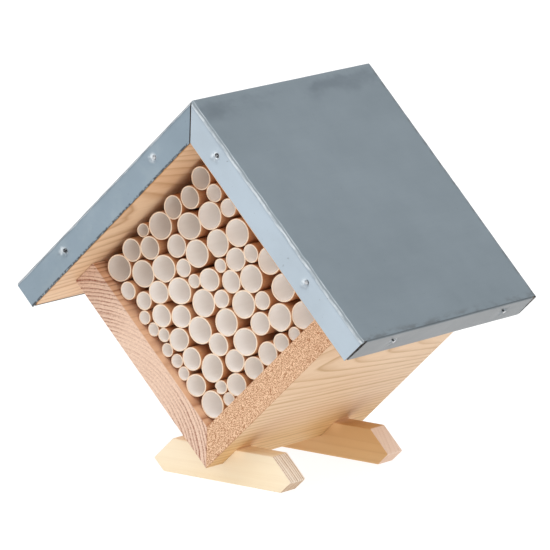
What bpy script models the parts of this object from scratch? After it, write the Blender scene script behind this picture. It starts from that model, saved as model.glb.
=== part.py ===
"""Insect hotel: a square wooden box standing on one corner, filled with bamboo canes, under a
folded zinc roof. Metres, +Z up, the front faces -Y. The origin is on the ground, at the middle
of the object's footprint."""

import math

import bmesh
import bpy
from mathutils import Vector

MM = 0.001
SLOPE = math.sqrt(0.5)                  # every board lies at 45 degrees

# Driving dimensions
GAP = 0.3 * MM                          # left between pieces that touch
ROOF_DEPTH = 152 * MM
ROOF_SIDE = 150 * MM                    # from the ridge down to an eave
SHEET = 0.8 * MM
FLANGE = 14.7 * MM
SEAM = 0.5 * MM                         # the slit where two flanges meet
SEAM_TOP = 2.5 * MM                     # the sheet is whole this far under the ridge
SLIT_TOP = 2 * MM                       # and this far under the eave fold
BOARD = 15 * MM
EAVE_OVERHANG = 17 * MM
FRONT_OVERHANG = 19.5 * MM
BACK_PANEL = 4 * MM
GROUND_CLEARANCE = 9.2 * MM             # under the box's bottom corner
CANE_RECESS = 4.6 * MM
CANE_GAP = 0.3 * MM

FOOT_THICK = 12.5 * MM
FOOT_HALF_BASE = 36.2 * MM
FOOT_HALF_TOP = 30.8 * MM
FOOT_TIP_UP = 6.2 * MM
FOOT_HEIGHT = 17.9 * MM
FOOT_HALF_LENGTH = FOOT_HALF_TOP + FOOT_HEIGHT - FOOT_TIP_UP
FRONT_FOOT_Y = -42.9 * MM               # each foot's front face
BACK_FOOT_Y = 41.3 * MM

PIN_HEAD = 1.3 * MM                     # radius
PIN_HEAD_HEIGHT = 0.7 * MM
PIN_SHANK = 0.6 * MM                    # radius
PIN_LENGTH = 11 * MM
PIN_SIDES = 8
PIN_HOLE = 0.45 * MM                    # round the shank
PIN_INSET = 6.6 * MM                    # from the roof's outer face
FLANGE_PINS = {"left": (37.5 * MM, 114 * MM), "right": (29.5 * MM, 108 * MM)}   # down from the ridge
EAVE_PINS = (-43 * MM, 53 * MM)         # along the eave

# Worked-out places
ROOF_FRONT = -ROOF_DEPTH / 2
ROOF_BACK = ROOF_DEPTH / 2
ROOF_TOTAL = SHEET + GAP + BOARD
BOX_SIDE = ROOF_SIDE - EAVE_OVERHANG    # roof's outer face to the lower board's outer face
CAVITY = BOX_SIDE - BOARD - ROOF_TOTAL
BOX_FRONT = ROOF_FRONT + FRONT_OVERHANG
BOX_BACK = ROOF_BACK - SHEET - GAP
CANE_FRONT = BOX_FRONT + CANE_RECESS
CANE_LENGTH = BOX_BACK - BACK_PANEL - GAP - CANE_FRONT
CORNER_Z = GROUND_CLEARANCE + BOARD / SLOPE   # the cavity's bottom corner
APEX = CAVITY + ROOF_TOTAL              # the ridge, along both slopes from that corner

# Canes: outer radius and wall by size letter, and the sides of each round
CANE_SIZES = {"S": (3.4, 0.6, 12), "M": (4.55, 0.7, 12), "L": (5.75, 0.75, 14), "X": (6.9, 0.8, 16)}
# Where each cane was laid, in mm: (size, along the right board, up the left board)
CANES = (
    # the bottom course, then the rest from left to right and upwards
    ("X", 7, 7), ("S", 15.5, 3), ("S", 18.5, 9.5), ("L", 27.5, 6), ("L", 40, 6), ("L", 52.5, 6),
    ("M", 62.5, 5), ("S", 71.5, 3.5), ("X", 82, 7), ("L", 95.5, 6.5),
    ("L", 6, 20.5), ("X", 19.5, 20), ("L", 31.5, 15), ("X", 44.5, 18), ("L", 58, 19.5), ("X", 70, 15),
    ("X", 82, 24.5), ("L", 95.5, 19), ("S", 3.5, 29.5), ("L", 13.5, 31.5), ("L", 30.5, 27),
    ("X", 42, 32.5), ("X", 57, 33), ("M", 67.5, 27.5), ("L", 95.5, 31),
    ("S", 4.5, 37), ("S", 3.5, 44.5), ("L", 13.5, 43.5), ("X", 27, 39), ("M", 48, 42.5),
    ("X", 69.5, 39.5), ("X", 85, 39.5), ("M", 97, 42),
    ("S", 8, 50.5), ("L", 23, 51), ("X", 38, 48), ("L", 49, 54.5), ("L", 58.5, 46), ("L", 68, 52.5),
    ("M", 78.5, 48.5), ("L", 94, 53.5), ("S", 3.5, 57.5), ("L", 13.5, 58.5), ("S", 41.5, 59.5),
    ("S", 59.5, 55.5), ("S", 98, 63), ("S", 3.5, 65), ("X", 30.5, 61), ("X", 64, 66), ("X", 78, 61.5),
    ("M", 94, 66.5), ("M", 9, 71.5), ("L", 19.5, 69), ("M", 40, 68.5), ("X", 51, 68.5),
    ("M", 5, 81), ("X", 18, 81.5), ("X", 31, 75.5), ("L", 44, 79.5), ("X", 57.5, 81.5),
    ("X", 72, 77.5), ("M", 82.5, 74), ("X", 94.5, 78), ("L", 30.5, 88), ("M", 80, 84),
    ("X", 8, 93), ("L", 21, 94.5), ("S", 33, 97), ("X", 43, 93), ("L", 56.5, 94.5), ("L", 68, 92),
    ("L", 79, 95), ("S", 94.5, 90.5), ("S", 98, 87), ("M", 97, 96),
)
SETTLE_ROUNDS = 4000
CANE_NODES = 40                         # canes past this number are glued in twos
GLUE_WIDTH = 2 * MM
GLUE_INSET = 12 * MM                    # from the canes' mouths to the glue line
GLUE_BITE = 0.4 * MM                    # into each cane's wall
CUTTER_REACH = 5 * MM                   # cutters run this far past what they cut

PARTS = bpy.data.collections.new("insect_hotel")
CUTTERS = bpy.data.collections.new("cutters")


def clear_scene():
    for obj in list(bpy.data.objects):
        bpy.data.objects.remove(obj)
    for collection in (PARTS, CUTTERS):
        bpy.context.scene.collection.children.link(collection)


def material(name, colour, roughness, metallic=0.0):
    made = bpy.data.materials.new(name)
    made.use_nodes = True
    shader = made.node_tree.nodes["Principled BSDF"]
    shader.inputs["Base Color"].default_value = (*colour, 1)
    shader.inputs["Roughness"].default_value = roughness
    shader.inputs["Metallic"].default_value = metallic
    return made


def across(along, up):
    """World X and Z of a place in the cavity, given along the right board and up the left one."""
    return (along - up) * SLOPE, CORNER_Z + (along + up) * SLOPE


def add_mesh(name, mesh, finish, collection=PARTS):
    obj = bpy.data.objects.new(name, mesh)
    collection.objects.link(obj)
    if finish:
        mesh.materials.append(finish)
    if collection is CUTTERS:
        obj.hide_render = True
        obj.display_type = "WIRE"
    return obj


def prism(name, outline, front, back, finish, collection=PARTS):
    """A flat outline of (x, z) points, made solid from y = front to y = back."""
    curve = bpy.data.curves.new(name, "CURVE")
    curve.dimensions = "2D"
    curve.fill_mode = "BOTH"
    curve.extrude = (back - front) / 2
    spline = curve.splines.new("POLY")
    spline.points.add(len(outline) - 1)
    for point, (x, z) in zip(spline.points, outline):
        point.co = (x, z, 0, 1)
    spline.use_cyclic_u = True
    guide = bpy.data.objects.new(name + "_outline", curve)
    guide.location.y = (front + back) / 2
    guide.rotation_euler.x = math.pi / 2
    CUTTERS.objects.link(guide)
    bpy.context.view_layer.update()
    evaluated = guide.evaluated_get(bpy.context.evaluated_depsgraph_get())
    mesh = bpy.data.meshes.new_from_object(evaluated)
    body = bmesh.new()
    body.from_mesh(mesh)
    bmesh.ops.remove_doubles(body, verts=body.verts, dist=1e-6)
    bmesh.ops.recalc_face_normals(body, faces=body.faces)
    body.to_mesh(mesh)
    body.free()
    mesh.materials.clear()
    obj = add_mesh(name, mesh, finish, collection)
    obj.matrix_world = guide.matrix_world
    bpy.data.objects.remove(guide)
    return obj


def boolean(obj, other, operation):
    cut = obj.modifiers.new(other.name, "BOOLEAN")
    cut.operation = operation
    cut.object = other
    cut.solver = "EXACT"


def beam(name, points, front, back, finish, collection=PARTS):
    """A prism whose outline is given in the cavity's own two directions."""
    return prism(name, [across(*point) for point in points], front, back, finish, collection)


def chevron(inset, depth, name, front, back, collection=PARTS, eave=0.0):
    """A roof-shaped solid: its outer faces lie inset below the roof's, and it is depth thick."""
    top = APEX - inset
    low = APEX - ROOF_SIDE + eave
    under = top - depth
    points = [(top, top), (low, top), (low, under), (under, under), (under, low), (top, low)]
    return beam(name, points, front, back, None, collection)


def make_roof_sheet(zinc):
    """The folded sheet: a roof-shaped cap, hollow from below, with its flange ends slit."""
    sheet = chevron(0, FLANGE, "roof_sheet", ROOF_FRONT, ROOF_BACK)
    sheet.data.materials.append(zinc)
    hollow = chevron(SHEET, FLANGE, "sheet_hollow", ROOF_FRONT + SHEET, ROOF_BACK - SHEET,
                     CUTTERS, eave=SHEET)
    boolean(sheet, hollow, "DIFFERENCE")
    seam_top = across(APEX, APEX)[1] - SEAM_TOP
    seam_line = [(-SEAM / 2, CORNER_Z), (SEAM / 2, CORNER_Z), (SEAM / 2, seam_top), (-SEAM / 2, seam_top)]
    seam = prism("ridge_seam", seam_line, ROOF_FRONT - CUTTER_REACH, ROOF_BACK + CUTTER_REACH, None, CUTTERS)
    boolean(sheet, seam, "DIFFERENCE")
    low = APEX - ROOF_SIDE - CUTTER_REACH
    inner = APEX - ROOF_SIDE + SHEET + GAP
    under = APEX - FLANGE - CUTTER_REACH
    top = APEX - SLIT_TOP
    for side in ("left", "right"):
        for end, y in (("front", ROOF_FRONT), ("back", ROOF_BACK)):
            inward = 1 if end == "front" else -1
            ys = sorted((y + inward * SHEET, y + inward * (SHEET + SEAM)))
            points = [(low, under), (inner, under), (inner, top), (low, top)]
            if side == "right":
                points = [(up, along) for along, up in points]
            slit = beam(f"{side}_{end}_slit", points, *ys, None, CUTTERS)
            boolean(sheet, slit, "DIFFERENCE")
    return sheet


def make_roof_boards(wood):
    top = APEX - SHEET - GAP
    low = APEX - ROOF_SIDE + SHEET + GAP
    front = ROOF_FRONT + SHEET + GAP
    joint = GAP / 2
    outline = [(top - joint, top), (low, top), (low, top - BOARD), (top - BOARD - joint, top - BOARD)]
    left = beam("roof_board_left", outline, front, BOX_BACK, wood)
    mirrored = [(up, along) for along, up in outline]
    right = beam("roof_board_right", mirrored, front, BOX_BACK, wood)
    return left, right


def make_box_boards(wood):
    """The two lower boards meet in a mitre and butt against the roof boards."""
    top = CAVITY - GAP
    joint = GAP / 2
    outline = [(0, joint), (0, top), (-BOARD, top), (-BOARD, joint - BOARD)]
    beam("lower_board_left", outline, BOX_FRONT, BOX_BACK, wood)
    mirrored = [(up, along) for along, up in outline]
    beam("lower_board_right", mirrored, BOX_FRONT, BOX_BACK, wood)
    low, high = GAP, CAVITY - GAP
    square = [(low, low), (low, high), (high, high), (high, low)]
    beam("back_panel", square, BOX_BACK - BACK_PANEL, BOX_BACK, wood)


def make_foot(name, front, wood):
    notch_floor = GROUND_CLEARANCE - GAP / SLOPE
    notch_half = FOOT_HEIGHT - notch_floor
    half = [(FOOT_HALF_BASE, 0), (FOOT_HALF_LENGTH, FOOT_TIP_UP), (FOOT_HALF_TOP, FOOT_HEIGHT),
            (notch_half, FOOT_HEIGHT)]
    outline = half + [(0, notch_floor)] + [(-x, z) for x, z in reversed(half)]
    prism(name, outline, front, front + FOOT_THICK, wood)


def turned(name, profile, sides, finish, collection=PARTS):
    """A closed profile of (radius, height) turned about local Z."""
    mesh = bpy.data.meshes.new(name)
    body = bmesh.new()
    points = [body.verts.new((radius, 0, height)) for radius, height in profile]
    for first, second in zip(points, points[1:]):
        body.edges.new((first, second))
    if profile[0][0] > 0:
        body.edges.new((points[-1], points[0]))
    body.to_mesh(mesh)
    body.free()
    obj = add_mesh(name, mesh, finish, collection)
    screw = obj.modifiers.new("turn", "SCREW")
    screw.steps = sides
    screw.render_steps = sides
    screw.use_merge_vertices = True
    screw.merge_threshold = 0.00001
    return obj


def facing(direction):
    """The rotation that takes local +Z to a direction."""
    return Vector((0, 0, 1)).rotation_difference(Vector(direction)).to_euler()


def make_pin(name, place, outward, steel, pierced):
    """A pin whose head stands on the sheet at place; outward is the sheet's own direction."""
    head = [(0, PIN_HEAD_HEIGHT), (PIN_HEAD * 0.7, PIN_HEAD_HEIGHT * 0.8), (PIN_HEAD, 0),
            (PIN_SHANK, 0), (PIN_SHANK, -PIN_LENGTH), (0, -PIN_LENGTH)]
    pin = turned(name, head, PIN_SIDES, steel)
    pin.location = Vector(place) + Vector(outward) * GAP
    pin.rotation_euler = facing(outward)
    radius = PIN_SHANK + PIN_HOLE
    top, bottom = PIN_HEAD_HEIGHT, -PIN_LENGTH - 2 * GAP
    bore = [(0, top), (radius, top), (radius, bottom), (0, bottom)]
    hole = turned(name + "_hole", bore, PIN_SIDES, None, CUTTERS)
    hole.location = pin.location
    hole.rotation_euler = pin.rotation_euler
    for obj in pierced:
        boolean(obj, hole, "DIFFERENCE")


def make_pins(steel, sheet, boards):
    inset = APEX - PIN_INSET
    for board, side in zip(boards, ("left", "right")):
        sign = -1 if side == "left" else 1
        for end, y in (("front", ROOF_FRONT), ("back", ROOF_BACK)):
            for number, down in enumerate(FLANGE_PINS[side], 1):
                x, z = across(APEX - down, inset)
                make_pin(f"pin_{end}_{side}_{number}", (-sign * x, y, z),
                         (0, -1 if end == "front" else 1, 0), steel, (sheet, board))
        x, z = across(APEX - ROOF_SIDE, inset)
        for number, y in enumerate(EAVE_PINS, 1):
            make_pin(f"pin_eave_{side}_{number}", (-sign * x, y, z),
                     (sign * SLOPE, 0, -SLOPE), steel, (sheet, board))


def settle(canes):
    """Push canes apart until each one clears the walls and its neighbours by the gap."""
    places = [[along * MM, up * MM] for _, along, up in canes]
    radii = [CANE_SIZES[size][0] * MM for size, _, _ in canes]
    for _ in range(SETTLE_ROUNDS):
        moved = False
        for first in range(len(canes)):
            for second in range(first + 1, len(canes)):
                apart = [b - a for a, b in zip(places[first], places[second])]
                distance = math.hypot(*apart)
                short = radii[first] + radii[second] + CANE_GAP - distance
                if short > 1e-7:
                    moved = True
                    for axis in (0, 1):
                        push = apart[axis] / distance * (short / 2 + 1e-6)
                        places[first][axis] -= push
                        places[second][axis] += push
        for place, radius in zip(places, radii):
            for axis in (0, 1):
                low = radius + CANE_GAP
                kept = min(max(place[axis], low), CAVITY - low)
                moved = moved or abs(kept - place[axis]) > 1e-7
                place[axis] = kept
        if not moved:
            return places, radii
    raise RuntimeError("the canes do not fit the box")


def gap_between(first, second, places, radii):
    return math.dist(places[first], places[second]) - radii[first] - radii[second]


def pair_up(places, radii):
    """Glue neighbours in twos, those with the fewest free neighbours first."""
    reach = 2.5 * MM
    free = set(range(len(places)))
    pairs = []
    near = {a: [b for b in free if b != a and gap_between(a, b, places, radii) < reach] for a in free}
    while len(free) + len(pairs) > CANE_NODES:
        choices = {a: [b for b in near[a] if b in free] for a in free}
        open_ends = [a for a in sorted(free) if choices[a]]
        if not open_ends:
            raise RuntimeError("too many canes stand alone")
        first = min(open_ends, key=lambda a: len(choices[a]))
        second = min(choices[first], key=lambda b: (len(choices[b]), gap_between(first, b, places, radii)))
        pairs.append((first, second))
        free -= {first, second}
    return pairs, sorted(free)


def make_cane(name, number, places, bamboo, collection=PARTS):
    radius, wall, sides = CANE_SIZES[CANES[number][0]]
    outer, inner = radius * MM, (radius - wall) * MM
    profile = [(outer, CANE_LENGTH), (outer, 0), (inner, 0), (inner, CANE_LENGTH)]
    cane = turned(name, profile, sides, bamboo, collection)
    x, z = across(*places[number])
    cane.location = (x, CANE_FRONT, z)
    cane.rotation_euler.x = -math.pi / 2
    return cane


def make_glue(name, first, second, places, radii):
    """A thin line of glue from one cane's wall to the next one's."""
    (x1, z1), (x2, z2) = across(*places[first]), across(*places[second])
    start, end = Vector((x1, z1)), Vector((x2, z2))
    run = (end - start).normalized()
    side = Vector((-run.y, run.x)) * GLUE_WIDTH / 2
    start += run * (radii[first] - GLUE_BITE)
    end -= run * (radii[second] - GLUE_BITE)
    outline = [start - side, end - side, end + side, start + side]
    front, back = CANE_FRONT + GLUE_INSET, CANE_FRONT + CANE_LENGTH - GLUE_INSET
    return prism(name, outline, front, back, None, CUTTERS)


def make_canes(bamboo):
    places, radii = settle(CANES)
    pairs, singles = pair_up(places, radii)
    for first, second in pairs:
        name = f"canes_{first + 1:02d}_{second + 1:02d}"
        cane = make_cane(name, first, places, bamboo)
        other = make_cane(name + "_second", second, places, None, CUTTERS)
        boolean(cane, make_glue(name + "_glue", first, second, places, radii), "UNION")
        boolean(cane, other, "UNION")
    for number in singles:
        make_cane(f"cane_{number + 1:02d}", number, places, bamboo)


def main():
    clear_scene()
    zinc = material("zinc", (0.47, 0.53, 0.57), 0.42, 1.0)
    steel = material("pin_steel", (0.45, 0.46, 0.47), 0.4, 1.0)
    roof_wood = material("roof_wood", (0.70, 0.46, 0.27), 0.6)
    box_wood = material("box_wood", (0.74, 0.48, 0.28), 0.6)
    foot_wood = material("foot_wood", (0.86, 0.68, 0.46), 0.6)
    bamboo = material("bamboo", (0.72, 0.45, 0.22), 0.5)
    sheet = make_roof_sheet(zinc)
    boards = make_roof_boards(roof_wood)
    make_box_boards(box_wood)
    make_foot("foot_front", FRONT_FOOT_Y, foot_wood)
    make_foot("foot_back", BACK_FOOT_Y, foot_wood)
    make_pins(steel, sheet, boards)
    make_canes(bamboo)


main()
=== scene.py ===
"""Looks for the insect hotel: a folded zinc roof over a softwood box packed with bamboo canes."""

import math
import random

import bmesh
import bpy
from mathutils import Euler, Matrix, Vector, noise


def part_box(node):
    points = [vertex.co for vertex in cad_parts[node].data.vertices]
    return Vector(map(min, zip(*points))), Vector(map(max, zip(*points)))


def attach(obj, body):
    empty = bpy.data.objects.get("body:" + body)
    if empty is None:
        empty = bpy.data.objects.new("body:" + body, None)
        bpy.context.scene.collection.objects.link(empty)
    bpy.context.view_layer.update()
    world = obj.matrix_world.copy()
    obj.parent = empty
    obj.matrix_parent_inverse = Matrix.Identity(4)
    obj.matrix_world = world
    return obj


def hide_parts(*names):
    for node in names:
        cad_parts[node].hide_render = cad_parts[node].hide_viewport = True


MM = 0.001
SLOPE = math.sqrt(0.5)                  # the roof and the box lie at 45 degrees

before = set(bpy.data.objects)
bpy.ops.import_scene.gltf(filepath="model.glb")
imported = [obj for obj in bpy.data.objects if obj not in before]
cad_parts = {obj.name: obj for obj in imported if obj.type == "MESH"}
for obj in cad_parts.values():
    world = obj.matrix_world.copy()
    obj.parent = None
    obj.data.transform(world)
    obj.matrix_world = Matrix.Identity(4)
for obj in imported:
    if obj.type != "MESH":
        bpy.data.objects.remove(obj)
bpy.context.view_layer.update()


# --- nodes written as arithmetic ------------------------------------------------------------

class Value:
    """A socket of a node tree; arithmetic on it adds Math nodes."""

    def __init__(self, tree, socket):
        self.tree = tree
        self.socket = socket

    def __add__(self, other):
        return self.tree.math("ADD", self, other)

    __radd__ = __add__

    def __sub__(self, other):
        return self.tree.math("SUBTRACT", self, other)

    def __rsub__(self, other):
        return self.tree.math("SUBTRACT", other, self)

    def __mul__(self, other):
        return self.tree.math("MULTIPLY", self, other)

    __rmul__ = __mul__

    def __truediv__(self, other):
        return self.tree.math("DIVIDE", self, other)

    def __pow__(self, other):
        return self.tree.math("POWER", self, other)

    def __abs__(self):
        return self.tree.math("ABSOLUTE", self)


class Tree:
    """A shader or geometry tree, with one method that makes any node."""

    def __init__(self, group):
        self.group = group

    def node(self, kind, settings=None, inputs=None, output=0):
        made = self.group.nodes.new(kind)
        for key, value in (settings or {}).items():
            if key == "stops":
                self.set_stops(made.color_ramp, value)
            elif key == "curve":
                self.set_curve(made.mapping, value)
            else:
                setattr(made, key, value)
        for key, value in (inputs or {}).items():
            self.plug(value, made.inputs[key])
        return Value(self, made.outputs[output])

    def plug(self, value, socket):
        if isinstance(value, Value):
            self.group.links.new(value.socket, socket)
        else:
            socket.default_value = value

    @staticmethod
    def set_stops(ramp, stops):
        while len(ramp.elements) > 1:
            ramp.elements.remove(ramp.elements[-1])
        for number, (place, level) in enumerate(stops):
            element = ramp.elements.new(place) if number else ramp.elements[0]
            element.position = place
            element.color = (level, level, level, 1)

    @staticmethod
    def set_curve(mapping, points):
        curve = mapping.curves[0]
        for place in points[1:-1]:
            curve.points.new(*place)
        for point, place in zip(sorted(curve.points, key=lambda p: p.location[0]), points):
            point.location = place
            point.handle_type = "VECTOR"
        mapping.update()

    def math(self, operation, *values, clamp=False):
        settings = {"operation": operation, "use_clamp": clamp}
        return self.node("ShaderNodeMath", settings, dict(enumerate(values)))

    def clamp(self, value):
        return self.math("ADD", value, 0.0, clamp=True)

    def smooth(self, value, low, high):
        """0 below low, 1 above high, with a soft step between them."""
        settings = {"interpolation_type": "SMOOTHSTEP"}
        limits = {"Value": value, "From Min": low, "From Max": high}
        return self.node("ShaderNodeMapRange", settings, limits)

    def band(self, value, low, inner_low, inner_high, high):
        """1 from inner_low to inner_high, fading to 0 at low and at high."""
        return self.smooth(value, low, inner_low) * (1 - self.smooth(value, inner_high, high))

    def near(self, place, middles, inner, outer):
        """1 within inner of any of the middles, fading to 0 at outer."""
        total = 0.0
        for middle in middles:
            ends = {0: place, 1: middle}
            reach = self.node("ShaderNodeVectorMath", {"operation": "DISTANCE"}, ends, "Value")
            total = (1 - self.smooth(reach, inner, outer)) + total
        return self.clamp(total)

    def split(self, vector):
        parts = self.node("ShaderNodeSeparateXYZ", None, {"Vector": vector})
        return [Value(self, socket) for socket in parts.socket.node.outputs]

    def join(self, x, y, z):
        return self.node("ShaderNodeCombineXYZ", None, {"X": x, "Y": y, "Z": z})

    def stretch(self, vector, scale):
        return self.node("ShaderNodeMapping", None, {"Vector": vector, "Scale": scale})

    def grain(self, vector, scale, detail=2.0, rough=0.5):
        """Noise from 0 to 1, with features about 1 / scale metres across."""
        inputs = {"Vector": vector, "Scale": scale, "Detail": detail, "Roughness": rough}
        return self.node("ShaderNodeTexNoise", None, inputs)

    def seeded(self, vector, seed, scale, detail):
        """Noise from 0 to 1 that is another one for each seed."""
        inputs = {"Vector": vector, "W": seed, "Scale": scale, "Detail": detail}
        return self.node("ShaderNodeTexNoise", {"noise_dimensions": "4D"}, inputs)

    def mix(self, factor, first, second, blend="MIX"):
        settings = {"data_type": "RGBA", "blend_type": blend}
        inputs = {0: factor, 6: self.colour(first), 7: self.colour(second)}
        return self.node("ShaderNodeMix", settings, inputs, 2)

    @staticmethod
    def colour(value):
        return value if isinstance(value, Value) else (*value, 1)

    def curve(self, value, points):
        return self.node("ShaderNodeFloatCurve", {"curve": points}, {"Value": value})

    def ramp(self, value, stops):
        return self.node("ShaderNodeValToRGB", {"stops": stops}, {"Fac": value})


class Finish(Tree):
    """One material: a Principled shader and the nodes that feed it."""

    def __init__(self, name, **plain):
        self.material = bpy.data.materials.new(name)
        self.material.use_nodes = True
        super().__init__(self.material.node_tree)
        self.shader = self.group.nodes["Principled BSDF"]
        for key, value in plain.items():
            self.set(key.replace("_", " ").title(), value)

    def set(self, name, value):
        self.plug(value, self.shader.inputs[name])

    def place(self):
        return self.node("ShaderNodeTexCoord", output="Object")

    def facing(self):
        return self.node("ShaderNodeTexCoord", output="Normal")

    def bump(self, height, distance, strength=1.0):
        inputs = {"Height": height, "Distance": distance, "Strength": strength}
        self.set("Normal", self.node("ShaderNodeBump", None, inputs))


# --- finishes -------------------------------------------------------------------------------

ALONG_Y = (-math.pi / 2, 0, 0)          # turns local Z to the grain's direction
ALONG_X = (0, math.pi / 2, 0)

ZINC_DULL = (0.211, 0.257, 0.290)
ZINC_CLEAN = (0.275, 0.328, 0.368)
# painted light: the left front flange is made lighter than the slopes
LEFT_FLANGE_LIGHT = (1.15, 1.19, 1.23)
# painted light: the right front flange is made lighter still, as if it caught the lamp
RIGHT_FLANGE_LIT_DULL = (0.42, 0.485, 0.54)
RIGHT_FLANGE_LIT_CLEAN = (0.54, 0.63, 0.71)
# painted shade: the downward-facing eave flanges are made darker and greyer
EAVE_SHADED_DULL = (0.187, 0.203, 0.212)
EAVE_SHADED_CLEAN = (0.272, 0.29, 0.306)
# painted highlight, used along the front fold and beside the dents
PAINTED_HIGHLIGHT = (0.84, 0.89, 0.92)
# painted shade: the darker band between the fold's highlights
PAINTED_FOLD_SHADE = (0.30, 0.33, 0.35)
FLANGE_MIST = (1.16, 1.12, 1.07)
RIDGE_BAND = (0.70, 0.71, 0.73)
GRIME = (0.13, 0.14, 0.145)
# a dark cut edge strip, partly painted shadow of the gap under the left front flange
TORN_EDGE_AND_SHADOW = (0.045, 0.04, 0.038)
# painted shade: a dark line along the eave fold
EAVE_FOLD_SHADE = (0.09, 0.10, 0.105)
# painted shade: the dark gap round each sunk pin head
PIN_GAP_SHADE = (0.03, 0.03, 0.032)
SCRATCH = (0.11, 0.12, 0.13)
HIGHLIGHT_STEP = Vector((-1.0, 0, -0.4)) * MM       # from a dent's middle to its painted highlight
PALE_PIN_HEIGHT = 140 * MM                  # parts the upper pins from the lower ones

NOOK_STRETCH = 0.35                     # a nook is longer along Y than across
NOOK_GLOW = (0.12, 0.078, 0.045)        # light thrown to and fro between two boards
YELLOWED = (0.88, 0.76, 0.50)
FIBRE_RELIEF = 0.12 * MM


def growth_rings(wood, local, ring, wander, bands):
    """Dark lines, from 0 to 1, at every ring of radius round the local Z axis, unevenly spaced."""
    drift = wood.grain(wood.stretch(local, (1, 1, 0.16)), 28, 2.0)
    ripple = wood.grain(wood.stretch(local, (1, 1, 0.1)), 130, 1.0)
    x, y, _ = wood.split(local)
    radius = wood.math("SQRT", x * x + y * y)
    turns = (radius + (drift - 0.5) * (2 * wander) + (ripple - 0.5) * (0.4 * ring)) / ring
    uneven = wood.grain(wood.join(turns * 0.61, 0.0, 0.0), 1.0, 1.0)
    phase = wood.math("FRACT", turns + (uneven - 0.5) * 1.2)
    line = wood.ramp(phase, [(0.0, 0.35), (0.1, 0.0), (0.5, 0.08), (0.8, 0.55), (0.93, 1.0), (1.0, 0.35)])
    bearing = wood.math("ARCTAN2", y * -1.0, x) / math.pi
    strength = wood.ramp(bearing, bands) if bands else 1.0
    return line * (uneven * 1.4 + 0.2) * strength


def softwood(name, early, late, pith, turn=ALONG_Y, tilt=(0, 0, 0), ring=2.2 * MM, wander=1.6 * MM,
             contrast=0.7, end_early=(0.75, 0.45, 0.22), end_late=(0.5, 0.25, 0.1), end_contrast=0.6,
             bands=(), speckle=0.4, pore=0.45 * MM, yellowed=None, nooks=()):
    """Planed softwood: rings round a pith line, fibres along it, and sawn ends across it.
    bands gives how strongly the rings show by direction from the pith, in half turns from +X up.
    The wood is yellower below the heights in yellowed, and warm light gathers in its nooks."""
    wood = Finish(name)
    angles = tuple(a + b for a, b in zip(turn, tilt))
    local = wood.node("ShaderNodeMapping", {"vector_type": "TEXTURE"},
                      {"Vector": wood.place(), "Location": pith, "Rotation": angles})
    rings = growth_rings(wood, local, ring, wander, bands)
    fibre = wood.grain(wood.stretch(local, (1, 1, 0.025)), 1500, 3.0, 0.6)
    streak = wood.grain(wood.stretch(local, (1, 1, 0.03)), 260, 2.0)
    patch = wood.grain(wood.stretch(local, (1, 1, 0.3)), 30, 2.0)
    grit = wood.grain(local, 1 / pore, 2.0, 0.6)

    # planed faces
    dark = wood.clamp(rings * contrast + (streak - 0.5) * 0.5 + (fibre - 0.5) * 0.35)
    face = wood.mix(dark, early, late)
    deeper = tuple(level * level * 1.04 for level in early)
    face = wood.mix(wood.smooth(patch, 0.35, 0.75) * 0.35, face, deeper)
    if yellowed:
        height = wood.split(wood.place())[2]
        face = wood.mix(1 - wood.smooth(height, *yellowed), face, YELLOWED, "MULTIPLY")

    # sawn ends, with painted shade where they face down
    along = Euler(angles).to_matrix() @ Vector((0, 0, 1))
    nx, ny, nz = wood.split(wood.facing())
    end = wood.smooth(abs(nx * along.x + ny * along.y + nz * along.z), 0.3, 0.5)
    pores = wood.smooth(grit, 0.38, 0.62)
    lines = rings * end_contrast * (0.6 + pores * 0.6)
    # painted shade on downward-facing ends
    shade_below = wood.smooth(nz * -1.0, 0.3, 0.7) * 0.5
    dark = wood.clamp(lines + (pores - 0.5) * speckle + speckle * 0.5 + shade_below)
    wood.set("Base Color", wood.mix(end, face, wood.mix(dark, end_early, end_late)))
    wood.set("Roughness", 0.58 + (fibre - 0.5) * 0.2 + end * 0.18)
    wood.set("Specular IOR Level", 0.35)
    wood.bump((fibre - 0.5) * 0.5 + rings * 0.3 + end * (grit - 0.5) * 1.6, FIBRE_RELIEF, 0.7)
    if nooks:
        flat = wood.stretch(wood.place(), (1, NOOK_STRETCH, 1))
        middles = [Vector((nook.x, nook.y * NOOK_STRETCH, nook.z)) for nook in nooks]
        warm = wood.near(flat, middles, 0.5 * MM, 7.5 * MM)
        wood.set("Emission Color", wood.mix(warm, (0.0, 0.0, 0.0), NOOK_GLOW))
        wood.set("Emission Strength", 1.0)
    return wood.material


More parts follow.
